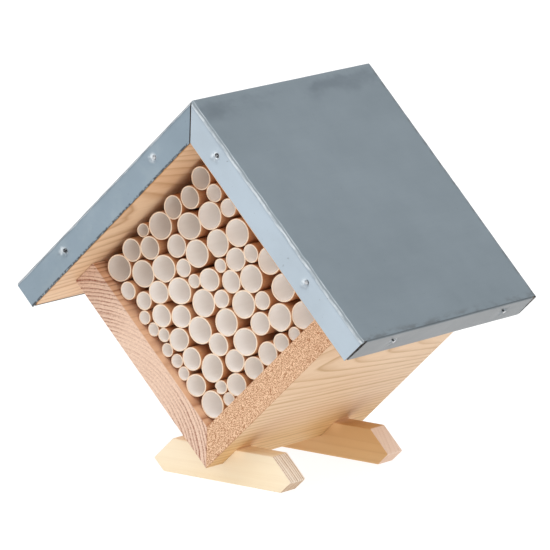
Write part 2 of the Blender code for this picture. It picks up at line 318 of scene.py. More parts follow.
class Zinc(Finish):
    """The folded sheet's finish, with masks that tell its faces apart."""

    def __init__(self, roof):
        super().__init__("zinc_sheet_finish")
        self.roof = roof
        self.at = self.place()
        self.x, self.y, self.z = self.split(self.at)
        _, self.ny, self.nz = self.split(self.facing())
        self.front = self.smooth(self.ny * -1.0, 0.8, 0.97)
        self.right = self.smooth(self.x, -0.4 * MM, 0.4 * MM)

    def flange_mist_and_painted_shading(self, colour, level):
        """Painted light on the front flanges, the left one lighter than the slopes and the right one
        lighter still, over a faint real mist; painted shade on the eaves, which face down.
        """
        # painted light on the left front flange
        colour = self.mix(self.front * (1 - self.right), colour, LEFT_FLANGE_LIGHT, "MULTIPLY")
        misted = self.smooth(self.grain(self.at, 55, 4.0, 0.65), 0.46, 0.66)
        colour = self.mix(self.front * misted * 0.6, colour, FLANGE_MIST, "MULTIPLY")
        # painted light on the right front flange
        lit_right = self.mix(level, RIGHT_FLANGE_LIT_DULL, RIGHT_FLANGE_LIT_CLEAN)
        colour = self.mix(self.front * self.right, colour, lit_right)
        # painted shade on the eaves, which face down
        eave = self.smooth(self.nz * -1.0, 0.3, 0.6) * (1 - self.smooth(abs(self.ny), 0.3, 0.5))
        return self.mix(eave, colour, self.mix(level, EAVE_SHADED_DULL, EAVE_SHADED_CLEAN))

    def ridge_band(self, colour):
        """A blotchy darker band where the ridge was rolled over."""
        drop = (self.roof.ridge - self.z) / SLOPE + (self.grain(self.at, 90, 3.0) - 0.5) * (9 * MM)
        rolled = self.band(drop, 2.5 * MM, 6 * MM, 8 * MM, 17 * MM)
        blotch = self.smooth(self.grain(self.stretch(self.at, (1, 0.5, 1)), 40, 4.0, 0.6), 0.40, 0.62)
        return self.mix(rolled * blotch * (1 - self.front) * 0.8, colour, RIDGE_BAND, "MULTIPLY")

    def grime_and_painted_shade(self, colour):
        """Grime along the back and eave folds, a painted shade line along the eave fold, and a roughly cut
        left front flange whose dark ragged strip is also painted shadow of the gap beneath it."""
        roof = self.roof
        rear = self.smooth(self.y, roof.half_depth - 3.2 * MM, roof.half_depth - 1.4 * MM)
        down = (roof.ridge - self.z) / SLOPE + abs(self.x) / SLOPE
        low = self.smooth(down, 2 * roof.slope - 11 * MM, 2 * roof.slope - 2 * MM)
        smudge = self.smooth(self.grain(self.stretch(self.at, (1, 0.4, 1)), 230, 4.0, 0.6), 0.42, 0.66)
        grime = self.math("MAXIMUM", rear, low) * self.smooth(self.nz, 0.4, 0.6) * smudge
        colour = self.mix(grime * 0.6, colour, GRIME)
        inward = (roof.ridge - self.z - abs(self.x)) * SLOPE
        torn = self.smooth(self.grain(self.at, 900, 2.0, 0.6), 0.38, 0.56)
        cut = self.smooth(inward, roof.flange - 1.0 * MM, roof.flange - 0.4 * MM)
        # the left front flange's ragged lower strip: a rough cut edge, darkened further as painted shadow
        # of the gap beneath it
        colour = self.mix(self.front * (1 - self.right) * cut * torn * 0.85, colour, TORN_EDGE_AND_SHADOW)
        # painted shade along the eave fold
        crease = self.band(self.nz, -0.65, -0.3, 0.5, 0.67) * (1 - self.smooth(abs(self.ny), 0.1, 0.3))
        return self.mix(crease * 0.6, colour, EAVE_FOLD_SHADE)

    def painted_fold_highlight(self, colour):
        """Along the front fold, painted highlights: a wavering bright line, a painted darker band and a
        thinner bright line.
        """
        steep = abs(self.ny)
        waver = (self.grain(self.at, 120, 3.0) - 0.5) * 0.5
        turned = steep + waver * self.band(steep, 0.05, 0.2, 0.93, 0.985)
        # painted highlights along the front fold
        fold_highlight = self.band(turned, 0.62, 0.76, 0.90, 0.97)
        fold_highlight = fold_highlight + self.band(turned, 0.14, 0.22, 0.30, 0.40) * 0.75
        # a painted darker band between them
        shaded_band = self.band(turned, 0.34, 0.44, 0.58, 0.70)
        patchy = 0.45 + self.smooth(self.grain(self.at, 150, 3.0), 0.35, 0.6) * 0.55
        forward = self.smooth(self.y * -1.0, 0.0, 20 * MM)
        colour = self.mix(shaded_band * 0.6 * forward, colour, PAINTED_FOLD_SHADE)
        return self.mix(fold_highlight * patchy * forward * 0.7, colour, PAINTED_HIGHLIGHT)

    def painted_dent_light_and_marks(self, colour, dents):
        """A painted highlight beside each pin, painted shade in the gap round it, and fine dark marks all
        over.
        """
        speck = self.grain(self.at, 420, 3.0, 0.65)
        beside = [spot + HIGHLIGHT_STEP * wide for spot, _, _, wide in dents]
        # a painted highlight beside each dent, where its wall would catch the light
        dent_highlight = self.near(self.at, beside, 0.6 * MM, 3.3 * MM) * self.smooth(speck, 0.40, 0.58)
        colour = self.mix(dent_highlight * (self.front * 0.70 + 0.15), colour, PAINTED_HIGHLIGHT)
        # painted shade in the gap round each pin head
        gap = self.near(self.at, [spot for spot, _, _, _ in dents], 0.9 * MM, 1.5 * MM)
        colour = self.mix(gap * 0.9, colour, PIN_GAP_SHADE)
        marks = self.smooth(speck, 0.66, 0.74) * (0.15 + self.front * 0.25)
        return self.mix(marks, colour, SCRATCH)


def zinc_sheet(roof, dents):
    """Dull zinc: a faint cloudy bloom and a fine brushed grain under grime and marks, with painted light
    and shade on the flanges, eaves, folds and round the pins.
    """
    zinc = Zinc(roof)
    cloud = zinc.grain(zinc.at, 14, 4.0, 0.6)
    bloom = zinc.grain(zinc.stretch(zinc.at, (1, 0.35, 1)), 60, 3.0)
    brushed = zinc.grain(zinc.stretch(zinc.at, (1, 0.04, 1)), 900, 2.0)
    cells = {"Vector": zinc.at, "Scale": 170, "Randomness": 1.0}
    flake = zinc.split(zinc.node("ShaderNodeTexVoronoi", None, cells, "Color"))[0]
    level = zinc.clamp(0.5 + (cloud - 0.5) * 1.5 + (bloom - 0.5) * 0.6 + (flake - 0.5) * 0.06)
    colour = zinc.mix(level, ZINC_DULL, ZINC_CLEAN)
    colour = zinc.flange_mist_and_painted_shading(colour, level)
    colour = zinc.ridge_band(colour)
    colour = zinc.grime_and_painted_shade(colour)
    colour = zinc.painted_fold_highlight(colour)
    zinc.set("Base Color", zinc.painted_dent_light_and_marks(colour, dents))
    zinc.set("Metallic", 0.85)
    zinc.set("Roughness", 0.38 + (cloud - 0.5) * 0.12 + (brushed - 0.5) * 0.08 + (flake - 0.5) * 0.03)
    zinc.bump((brushed - 0.5) * 0.3 + (bloom - 0.5) * 1.2, 0.06 * MM, 0.5)
    return zinc.material


def cut_zinc():
    """The sheet's cut edge: a rough, stained burr, darker and browner on the left, where it is also
    painted shadow of the gap under the left front flange.
    """
    edge = Finish("zinc_cut_edge", metallic=0.7)
    place = edge.place()
    stain = edge.grain(place, 500, 3.0, 0.7)
    left = 1 - edge.smooth(edge.split(place)[0], -0.5 * MM, 0.5 * MM)
    colour = edge.mix(edge.smooth(stain, 0.35, 0.65), (0.07, 0.068, 0.066), (0.20, 0.21, 0.22))
    # painted shadow: the left cut edges are made dark brown for the gap under the left flange
    edge.set("Base Color", edge.mix(left * 0.75, colour, (0.09, 0.065, 0.05)))
    edge.set("Roughness", 0.5 + (stain - 0.5) * 0.3)
    edge.bump(stain, 0.1 * MM)
    return edge.material


def pin_steel():
    """Steel painted dark, for the shade each head sits in at the bottom of its dent; the upper left and
    lower right heads are paler, with worn bright spots.
    """
    steel = Finish("pin_steel_finish", metallic=1.0)
    wear = steel.grain(steel.place(), 900, 3.0)
    x, _, z = steel.split(steel.place())
    paler = steel.smooth(x * (PALE_PIN_HEIGHT - z), -1e-5, 1e-5)
    # painted shade: most heads are near black for the shade of their dents; the upper left and lower right
    # ones are paler
    dark = steel.mix(paler, (0.05, 0.052, 0.056), (0.50, 0.51, 0.53))
    steel.set("Base Color", steel.mix(steel.smooth(wear, 0.45, 0.7), dark, (0.60, 0.61, 0.63)))
    steel.set("Roughness", 0.24 + (wear - 0.5) * 0.2)
    steel.bump(wear, 0.03 * MM, 0.5)
    return steel.material


def bamboo_finishes(roof):
    """The cane's skin, its cut rim and its pale papery bore; the bore glows faintly as painted light, and
    painted shade makes it darker and browner close under the left slope.
    """
    skin = Finish("bamboo_skin", roughness=0.48)
    place = skin.place()
    tone = skin.node("ShaderNodeAttribute", {"attribute_name": "tone"}, None, "Fac")
    streak = skin.grain(skin.stretch(place, (1, 0.02, 1)), 1400, 3.0, 0.6)
    band = skin.grain(place, 45, 3.0)
    level = skin.clamp(tone * 0.7 + (streak - 0.5) * 0.9 + (band - 0.5) * 0.5)
    skin.set("Base Color", skin.mix(level, (0.64, 0.30, 0.13), (0.84, 0.52, 0.30)))
    skin.bump(streak, 0.05 * MM, 0.6)

    rim = Finish("bamboo_rim", roughness=0.65)
    place = rim.place()
    fleck = rim.grain(place, 2600, 3.0, 0.7)
    rim.set("Base Color", rim.mix(rim.smooth(fleck, 0.35, 0.7), (0.88, 0.68, 0.50), (0.97, 0.85, 0.70)))
    rim.bump(fleck, 0.05 * MM, 0.6)

    bore = Finish("bamboo_bore", roughness=0.75)
    place = bore.place()
    tone = bore.node("ShaderNodeAttribute", {"attribute_name": "tone"}, None, "Fac")
    streak = bore.grain(bore.stretch(place, (1, 0.03, 1)), 700, 3.0)
    level = bore.clamp(tone * 0.5 + (streak - 0.5) * 0.8 + 0.25)
    x, _, z = bore.split(place)
    under_slope = (roof.ridge - z + x) * SLOPE
    # painted shade: bores close under the left slope are made darker and browner
    shaded_under_slope = 1 - bore.smooth(under_slope + (tone - 0.5) * (8 * MM), 18 * MM, 46 * MM)
    pale = bore.mix(level, (0.79, 0.74, 0.69), (0.86, 0.82, 0.79))
    bore.set("Base Color", bore.mix(shaded_under_slope * 0.85, pale, (0.70, 0.62, 0.55)))
    # painted light: the bores glow faintly, less so under the left slope
    bore.set("Emission Color", bore.mix(shaded_under_slope * 0.85, (0.91, 0.84, 0.79), (0.56, 0.48, 0.43)))
    bore.set("Emission Strength", 0.12)
    bore.bump(streak, 0.04 * MM, 0.5)
    return skin.material, rim.material, bore.material


# --- boards and feet ------------------------------------------------------------------------

def piece(name, mesh, finishes, slot, *nodes):
    """A finished piece that rides on the body and stands for its CAD nodes."""
    obj = bpy.data.objects.new(name, mesh)
    bpy.context.scene.collection.objects.link(obj)
    for finish in finishes:
        if finish.name not in mesh.materials:
            mesh.materials.append(finish)
    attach(obj, "root")
    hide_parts(*nodes)
    return obj


def merged(node):
    """A CAD node's solid with its triangles joined, flat faces made whole again."""
    body = bmesh.new()
    body.from_mesh(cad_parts[node].data)
    bmesh.ops.remove_doubles(body, verts=body.verts, dist=0.01 * MM)
    bmesh.ops.dissolve_limit(body, angle_limit=math.radians(1), verts=body.verts, edges=body.edges)
    return body


FOOT_SEAT = 0.42 * MM                   # a foot's notch is cut this far below the box's corner
SEAT_GAP = 0.38 * MM                    # across a foot's notch, measured level
JOINT_GAP = 0.3 * MM                    # between boards that touch
CLOSE_UP = 0.28 * MM                    # how much of it an end that meets another board takes up
LEFT_PLANED = 1.2 * MM                  # more is planed off under the left roof board
FOOT_EDGE = 0.7 * MM                    # how far edges are eased
ROOF_EDGE = 0.9 * MM
ROOF_CORNER = 2.2 * MM


def close_mitre(body):
    """Bring boards that meet at the middle together."""
    for vert in body.verts:
        if 0 < abs(vert.co.x) < JOINT_GAP:
            vert.co.x = math.copysign(0.01 * MM, vert.co.x)


def plane_underside(body, depth):
    """Take more off the underside of the left roof board."""
    under = min(vert.co.z - vert.co.x for vert in body.verts)
    for vert in body.verts:
        if vert.co.z - vert.co.x < under + 1 * MM:
            at_ridge = abs(vert.co.x) < 1 * MM
            vert.co += Vector((0, 0, 1 / SLOPE) if at_ridge else (-SLOPE, 0, SLOPE)) * depth


def seat_on_box(body, notch):
    """Close a foot's notch, whose bottom is at height notch, up to the box; returns its corners."""
    seat = [vert for vert in body.verts if abs(vert.co.z - abs(vert.co.x) - notch) < 0.6 * MM]
    for vert in seat:
        if abs(vert.co.x) > 2 * MM:
            vert.co.x -= math.copysign(SEAT_GAP, vert.co.x)
        else:
            vert.co.z += SEAT_GAP
    return seat


def sharp_edges(body, left_out=()):
    return [edge for edge in body.edges if edge.calc_length() > 3 * MM and edge.calc_face_angle(0) > 0.5
            and not (edge.verts[0] in left_out and edge.verts[1] in left_out)]


def round_outer_corners(body, radius):
    """Round a roof board's two outer corners, which the folded sheet hides."""
    reach = max(abs(vert.co.x) for vert in body.verts) - 12 * MM
    ends = [edge for edge in sharp_edges(body)
            if min(abs(vert.co.x) for vert in edge.verts) > reach and edge.calc_length() < 20 * MM]
    bmesh.ops.bevel(body, geom=ends, offset=radius, segments=4, profile=0.5, affect="EDGES")


def planed(node, name, finish, slot, edge=0.45 * MM, corner=0.0, thinned=0.0, notch=None):
    """A board as sawn and planed: the CAD solid with its long edges eased. A roof board's outer
    corners are rounded by corner. A foot's notch, whose bottom is at height notch, is left sharp."""
    body = merged(node)
    seat = []
    if notch:
        seat = seat_on_box(body, notch)
    else:
        close_mitre(body)
    if thinned:
        plane_underside(body, thinned)
    if corner:
        round_outer_corners(body, corner)
    sharp = sharp_edges(body, seat)
    bmesh.ops.bevel(body, geom=sharp, offset=edge, segments=3, profile=0.5, affect="EDGES")
    mesh = bpy.data.meshes.new(name)
    body.to_mesh(mesh)
    body.free()
    for polygon in mesh.polygons:
        polygon.use_smooth = True
    mesh.set_sharp_from_angle(angle=math.radians(40))
    return piece(name, mesh, [finish], slot, node)


# --- the folded roof ------------------------------------------------------------------------

SHEET = 0.8 * MM
FRONT_FOLD = 2.0 * MM                   # outside radius where the front flanges fold down
FOLD = 0.9 * MM                         # and where the others do
RIDGE_FOLD = 0.7 * MM
RIDGE_ARC = RIDGE_FOLD * math.pi / 4    # sheet in one half of the ridge fold
FOLD_STEPS = 6
SEAM = 0.35 * MM                        # half the slit between the two front flanges
FLANGE_END = 0.2 * MM                   # front flanges stop this short of the eaves
EAVE_SPLAY = 3.0 * MM                   # an eave flange starts this far behind the front one
SPLAY_CLOSES = 0.75                     # and has lost this share of that at its lower edge
GRID = 1.6 * MM
FLANGE_GRID = 1.0 * MM
BURR = 0.2 * MM                         # the left front flange was cut this much longer
RAGGED = 0.25 * MM                      # and unevenly
DENT_DEPTH = 0.8 * MM
DENT_REACH = 1.3 * MM
DENT_ZONE = 3.6 * DENT_REACH            # the grid is finer this close to a dent
EAVE_DENT = 1.5                         # how much wider the eaves' dents are
PRESSED_STEP = Vector((0.9, 0, 0.3)) * MM        # from the hollow pressed beside a pin to the pin
FLANGE_SWAY = 0.15 * MM                 # slow waves in the sheet
SLOPE_SWAY = 0.07 * MM
FOLD_CREASE = 0.22 * MM                 # quick ones
FLAT_CREASE = 0.05 * MM


def folded(run, corner, radius):
    """How far along and how far inward a run of sheet gets that folds square at a corner."""
    start = corner - radius
    arc = radius * math.pi / 2
    if run <= start:
        return run, 0.0
    if run < start + arc:
        angle = (run - start) / radius
        return start + radius * math.sin(angle), radius * (1 - math.cos(angle))
    return corner, radius + run - start - arc


class Roof:
    """The folded sheet's shape, read from its CAD node."""

    def __init__(self):
        low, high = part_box("roof_sheet")
        self.ridge = high.z
        self.half_depth = high.y
        self.slope = high.x / SLOPE
        self.flange = (high.z - low.z) / SLOPE - self.slope

    def spot(self, side, along, inward, y):
        """A place given from the ridge down one slope and inward from the sheet's outer face."""
        return Vector((side * (along - inward) * SLOPE, y, self.ridge - (along + inward) * SLOPE))

    def point(self, side, p, q, folded_at_eave=True):
        """Sheet to space: p runs from the ridge down one slope, q from mid-depth to the front or back."""
        y, inward = folded(abs(q), self.half_depth, FRONT_FOLD if q < 0 else FOLD)
        y = math.copysign(y, q)
        if p < RIDGE_ARC:
            angle = p / RIDGE_FOLD
            reach = RIDGE_FOLD - inward
            height = self.ridge - RIDGE_FOLD / SLOPE + reach * math.cos(angle)
            return Vector((side * reach * math.sin(angle), y, height))
        along = RIDGE_FOLD + p - RIDGE_ARC
        if folded_at_eave:
            along, under = folded(along, self.slope, FOLD)
            inward += under
        return self.spot(side, along, inward, y)

    def eave_run(self):
        """The run of sheet from the ridge to the start of the eave fold."""
        return self.slope - FOLD - RIDGE_FOLD + RIDGE_ARC

    def mitre(self, inward):
        """Where a front or back flange starts, so that it meets the other slope's flange."""
        if inward <= RIDGE_FOLD:
            return 0.0
        return RIDGE_ARC + inward - RIDGE_FOLD + SEAM / SLOPE


def stops(low, high, step):
    count = max(1, round((high - low) / step))
    return [low + (high - low) * number / count for number in range(count + 1)]


def roof_half(body, roof, side, ridge_line):
    """One slope with its flanges, as an open surface; ridge_line holds the shared vertices."""
    eave = roof.eave_run()
    eave_arc = FOLD * math.pi / 2
    slope_ps = [0, RIDGE_ARC / 2] + stops(RIDGE_ARC, eave, GRID)
    flat_qs = stops(FRONT_FOLD - roof.half_depth, roof.half_depth - FOLD, GRID)
    down = [eave + eave_arc * (step + 1) / FOLD_STEPS for step in range(FOLD_STEPS)]
    down += [eave + eave_arc + inward - FOLD for inward in stops(FOLD, roof.flange, FLANGE_GRID)[1:]]

    def skin(patch, height, width, flip):
        for i in range(height - 1):
            for j in range(width - 1):
                corners = [patch[i, j], patch[i, j + 1], patch[i + 1, j + 1], patch[i + 1, j]]
                body.faces.new(corners if (side > 0) != flip else corners[::-1])

    # the slope, folded down at the eave
    slope = {}
    for i, q in enumerate(flat_qs):
        for j, p in enumerate(slope_ps):
            if j == 0 and (0, i) in ridge_line:
                slope[i, j] = ridge_line[0, i]
            else:
                slope[i, j] = body.verts.new(roof.point(side, p, q))
        ridge_line[0, i] = slope[i, 0]
    last_row, last_column = len(flat_qs) - 1, len(slope_ps) - 1
    skin(slope, last_row + 1, last_column + 1, False)
    skirt = {(i, 0): slope[i, last_column] for i in range(last_row + 1)}
    for j, p in enumerate(down, 1):
        splay = EAVE_SPLAY * (1 - SPLAY_CLOSES * j / len(down))
        for i, q in enumerate(flat_qs):
            skirt[i, j] = body.verts.new(roof.point(side, p, q * (1 - splay / roof.half_depth)))
    skin(skirt, last_row + 1, len(down) + 1, False)

    # the front and back flanges, which run straight on to the eave
    spare = FOLD - FLANGE_END
    columns = slope_ps + [eave + spare / 2, eave + spare]
    reach = columns[-1]
    for end, row, radius in ((-1, 0, FRONT_FOLD), (1, last_row, FOLD)):
        flat_end = roof.half_depth - radius
        arc = radius * math.pi / 2
        strip = {(0, j): slope[row, j] for j in range(last_column + 1)}
        for j in range(last_column + 1, len(columns)):
            strip[0, j] = body.verts.new(roof.point(side, columns[j], end * flat_end, False))
        for i in range(1, FOLD_STEPS + 1):
            q = end * (flat_end + arc * i / FOLD_STEPS)
            inward = folded(abs(q), roof.half_depth, radius)[1]
            start = roof.mitre(inward)
            for j, p in enumerate(columns):
                place = start + (reach - start) * p / reach
                if place == 0 and (end, i) in ridge_line:
                    strip[i, j] = ridge_line[end, i]
                else:
                    strip[i, j] = body.verts.new(roof.point(side, place, q, False))
            if start == 0:
                ridge_line[end, i] = strip[i, 0]
        longer = BURR if side < 0 and end < 0 else 0.0
        drops = stops(radius, roof.flange + longer, FLANGE_GRID)[1:]
        for k, inward in enumerate(drops, FOLD_STEPS + 1):
            start = roof.mitre(inward)
            rough = RAGGED if longer and inward == drops[-1] else 0.0
            for j, p in enumerate(columns):
                place = start + (reach - start) * p / reach
                ragged = noise.noise(Vector((p * 400, k, 2.5))) * rough
                q = end * (flat_end + arc + inward + ragged - radius)
                strip[k, j] = body.verts.new(roof.point(side, place, q, False))
        skin(strip, FOLD_STEPS + len(drops) + 1, len(columns), end < 0)


def pin_places():
    """The middle of each pin's head and the way it faces, from the CAD pins."""
    found = []
    for name in sorted(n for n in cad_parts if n.startswith("pin_")):
        low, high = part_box(name)
        middle = (low + high) / 2
        if "_eave_" in name:
            side = 1 if middle.x > 0 else -1
            out = Vector((side * SLOPE, 0, -SLOPE))
        else:
            out = Vector((0, math.copysign(1, middle.y), 0))
        length = (high - low).dot(Vector(map(abs, out)))
        found.append((name, middle, out, length))
    return found


def dent_places(roof, pins):
    """Where each pin has dented the sheet: the place on its outer face, the way out, how deep and
    how wide."""
    draw = random.Random(5)
    for _, middle, out, _ in pins:
        if out.y:
            spot = Vector((middle.x, out.y * roof.half_depth, middle.z))
        else:
            reach = roof.slope * SLOPE
            corner = Vector((math.copysign(reach, out.x), middle.y, roof.ridge - reach))
            across = Vector((-math.copysign(SLOPE, out.x), 0, -SLOPE))
            spot = corner + across * (middle - corner).dot(across)
        deep, wide = DENT_DEPTH * draw.uniform(0.75, 1.1), draw.uniform(0.8, 1.25)
        yield spot, out, deep, wide if out.y else wide * EAVE_DENT


def shape_sheet(body, dents):
    """Dent the sheet round each pin, on a finer grid, and let it wander a little everywhere."""
    near = [edge for edge in body.edges
            if any(((edge.verts[0].co + edge.verts[1].co) / 2 - spot).length < DENT_ZONE
                   for spot, _, _, _ in dents)]
    bmesh.ops.subdivide_edges(body, edges=near, cuts=3, use_grid_fill=True)
    body.normal_update()
    moves = {}
    for vert in body.verts:
        depth = 0.0
        for spot, out, deep, wide in dents:
            if vert.normal.dot(out) > 0.6:
                gap = vert.co - spot
                struck = math.exp(-(gap.length / (DENT_REACH * wide)) ** 2)
                beside = gap + PRESSED_STEP * wide
                pressed = math.exp(-(beside.length / (2.4 * DENT_REACH * wide)) ** 2)
                depth += deep * (struck + 0.45 * pressed * (1 + noise.noise(vert.co * 450)))
        on_flange = abs(vert.normal.y) > 0.5 or vert.normal.z < 0
        depth += noise.noise(vert.co * 22) * (FLANGE_SWAY if on_flange else SLOPE_SWAY)
        on_fold = 0.15 < abs(vert.normal.y) < 0.95
        crease = noise.noise(vert.co * 150 + Vector((3, 1, 4))) * 0.5 + 0.5
        depth += crease * (FOLD_CREASE if on_fold else FLAT_CREASE)
        moves[vert] = vert.normal * depth
    for vert, move in moves.items():
        vert.co -= move


def folded_roof(roof, pins):
    body = bmesh.new()
    ridge_line = {}
    for side in (1, -1):
        roof_half(body, roof, side, ridge_line)
    dents = list(dent_places(roof, pins))
    shape_sheet(body, dents)
    mesh = bpy.data.meshes.new("folded_roof")
    body.to_mesh(mesh)
    body.free()
    thin = bpy.data.objects.new("thin_roof", mesh)
    bpy.context.scene.collection.objects.link(thin)
    wall = thin.modifiers.new("wall", "SOLIDIFY")
    wall.thickness = SHEET
    wall.offset = -1
    wall.use_even_offset = False
    wall.material_offset_rim = 1
    finishes = [zinc_sheet(roof, dents), cut_zinc()]
    for finish in finishes:
        mesh.materials.append(finish)
    bpy.context.view_layer.update()
    evaluated = thin.evaluated_get(bpy.context.evaluated_depsgraph_get())
    solid = bpy.data.meshes.new_from_object(evaluated)
    bpy.data.objects.remove(thin)
    for polygon in solid.polygons:
        polygon.use_smooth = True
    solid.set_sharp_from_angle(angle=math.radians(50))
    return piece("folded_roof", solid, finishes, "zinc_sheet", "roof_sheet")


# --- geometry trees -------------------------------------------------------------------------

def geometry_tree(name, inputs):
    """A new tree with a Geometry output and the named inputs; returns it with its group input."""
    group = bpy.data.node_groups.new(name, "GeometryNodeTree")
    group.interface.new_socket("Geometry", in_out="INPUT", socket_type="NodeSocketGeometry")
    for label, value in inputs.items():
        kind = "NodeSocketVector" if isinstance(value, tuple) else "NodeSocketFloat"
        socket = group.interface.new_socket(label, in_out="INPUT", socket_type=kind)
        socket.default_value = value
    group.interface.new_socket("Geometry", in_out="OUTPUT", socket_type="NodeSocketGeometry")
    tree = Tree(group)
    source = group.nodes.new("NodeGroupInput")
    given = {socket.name: Value(tree, socket) for socket in source.outputs if socket.name}
    return tree, given


def grow(name, tree, host_points, values):
    """Run a tree on a host of loose points and keep the plain mesh it makes."""
    host_mesh = bpy.data.meshes.new(name + "_host")
    host_mesh.from_pydata(host_points, [], [])
    host = bpy.data.objects.new(name + "_host", host_mesh)
    bpy.context.scene.collection.objects.link(host)
    modifier = host.modifiers.new("grow", "NODES")
    modifier.node_group = tree.group
    for item in tree.group.interface.items_tree:
        if item.in_out == "INPUT" and item.name in values:
            modifier[item.identifier] = values[item.name]
    bpy.context.view_layer.update()
    evaluated = host.evaluated_get(bpy.context.evaluated_depsgraph_get())
    mesh = bpy.data.meshes.new_from_object(evaluated)
    mesh.name = name
    bpy.data.objects.remove(host)
    return mesh


def outline_grid(tree, sides, rows):
    """A grid to roll up, with its place along the outline, from 0 to 1, and its turn."""
    size = {"Size X": 1.0, "Size Y": 1.0, "Vertices X": sides + 1, "Vertices Y": rows}
    grid = tree.node("GeometryNodeMeshGrid", None, size, "Mesh")
    u, v, _ = tree.split(tree.node("GeometryNodeInputPosition"))
    return grid, v + 0.5, (u + 0.5) * math.tau


def finish_tree(tree, geometry):
    output = tree.group.nodes.new("NodeGroupOutput")
    tree.plug(geometry, output.inputs["Geometry"])


RING = 48                               # sides of a cane
ROWS = 45                               # points along the cane's closed outline
RIM_ROUND = 0.12 * MM
MOUTH_RAGGED = 0.35 * MM
JOINT_WIDTH = 1.6 * MM
CANE_FILL = 0.13 * MM                   # the CAD canes are this much thinner than real ones
WALL_SHARE = 0.75                       # a real wall against the CAD one


def cane_tree(skin, rim, bore):
    """A bamboo cane: a grid rolled into a tube with a wall, a rounded mouth and a closed back."""
    tree, given = geometry_tree("bamboo_cane", {
        "Radius": 0.006, "Wall": 0.0007, "Length": 0.12, "Mouth": (0, 0, 0), "Oval": 0.02, "Turn": 0.0,
        "Slant": (0, 0, 0), "Nick": 0.0, "Nick Turn": 0.0, "Joint": 0.05, "Tone": 0.5, "Seed": 0.0})
    grid, row, turn = outline_grid(tree, RING, ROWS)
    tagged = tree.node("GeometryNodeStoreNamedAttribute", {"data_type": "FLOAT", "domain": "FACE"},
                       {"Geometry": grid, "Name": "row", "Value": row}, "Geometry")
    shell = tree.curve(row, [(0, 0.5), (0.045, 0), (0.45, 0), (0.55, 1), (0.955, 1), (1, 0.5)])
    depth = tree.curve(row, [(0, 1), (0.045, 1), (0.45, 0), (0.55, 0), (0.955, 1), (1, 1)]) ** 2.2
    across = tree.math("COSINE", turn)
    up = tree.math("SINE", turn)
    wander = tree.seeded(tree.join(across, up, depth * 1.5), given["Seed"], 0.8, 1.0)
    rough = tree.seeded(tree.join(across, up, 0.0), given["Seed"] + 7.0, 3.5, 2.0)
    swell = given["Oval"] * tree.math("COSINE", (turn - given["Turn"]) * 2.0)
    from_joint = (depth * given["Length"] - given["Joint"]) / JOINT_WIDTH
    joint = tree.math("EXPONENT", from_joint * from_joint * -1.0)
    outer = given["Radius"] * (1.0 + swell + (wander - 0.5) * 0.06 - joint * 0.035)
    wall = given["Wall"] * (0.8 + rough * 0.5)
    radius = outer - wall * shell
    centred = shell * 2.0 - 1.0
    lip = centred * centred * centred * centred * RIM_ROUND
    mouth_end = (1.0 - depth) ** 6.0
    x = across * radius
    z = up * radius
    slant_x, _, slant_z = tree.split(given["Slant"])
    from_nick = tree.math("COSINE", turn - given["Nick Turn"]) - 1.0
    nick = tree.math("EXPONENT", from_nick * 22.0) * given["Nick"]
    ragged = (rough - 0.5) * MOUTH_RAGGED
    y = depth * given["Length"] + lip + (x * slant_x + z * slant_z + nick + ragged) * mouth_end
    at = tree.node("ShaderNodeVectorMath", {"operation": "ADD"},
                   {0: tree.join(x, y, z), 1: given["Mouth"]})
    moved = tree.node("GeometryNodeSetPosition", None, {"Geometry": tagged, "Position": at})
    closed = tree.node("GeometryNodeMergeByDistance", None, {"Geometry": moved, "Distance": 0.002 * MM})
    toned = tree.node("GeometryNodeStoreNamedAttribute", {"data_type": "FLOAT", "domain": "POINT"},
                      {"Geometry": closed, "Name": "tone", "Value": given["Tone"]}, "Geometry")
    smooth = tree.node("GeometryNodeSetShadeSmooth", None, {"Geometry": toned})
    real = tree.node("GeometryNodeRealizeInstances", None, {"Geometry": smooth})
    where = tree.node("GeometryNodeInputNamedAttribute", {"data_type": "FLOAT"}, {"Name": "row"},
                      "Attribute")
    inside = tree.math("GREATER_THAN", where, 0.5)
    at_rim = tree.math("LESS_THAN", abs(where - 0.5), 0.062)
    at_back = tree.math("GREATER_THAN", abs(where - 0.5), 0.45)
    ends = tree.math("MAXIMUM", at_rim, at_back)
    finished = real
    for finish, chosen in ((skin, True), (bore, inside), (rim, ends)):
        finished = tree.node("GeometryNodeSetMaterial", None,
                             {"Geometry": finished, "Material": finish, "Selection": chosen})
    finish_tree(tree, finished)
    return tree


def cane_mouths(node):
    """Each cane in a CAD node: the middle of its mouth, its outer radius and its wall."""
    body = bmesh.new()
    body.from_mesh(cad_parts[node].data)
    bmesh.ops.remove_doubles(body, verts=body.verts, dist=0.01 * MM)
    front = min(vert.co.y for vert in body.verts)
    left = {vert for vert in body.verts if vert.co.y < front + 0.05 * MM}
    mouths = []
    while left:
        ring = {left.pop()}
        edge = set(ring)
        while edge:
            edge = {e.other_vert(v) for v in edge for e in v.link_edges} & left
            left -= edge
            ring |= edge
        xs = [v.co.x for v in ring]
        zs = [v.co.z for v in ring]
        middle = Vector(((min(xs) + max(xs)) / 2, front, (min(zs) + max(zs)) / 2))
        reach = sorted((v.co - middle).length for v in ring)
        mouths.append((node, middle, reach[-1], reach[-1] - reach[0]))
    body.free()
    return mouths


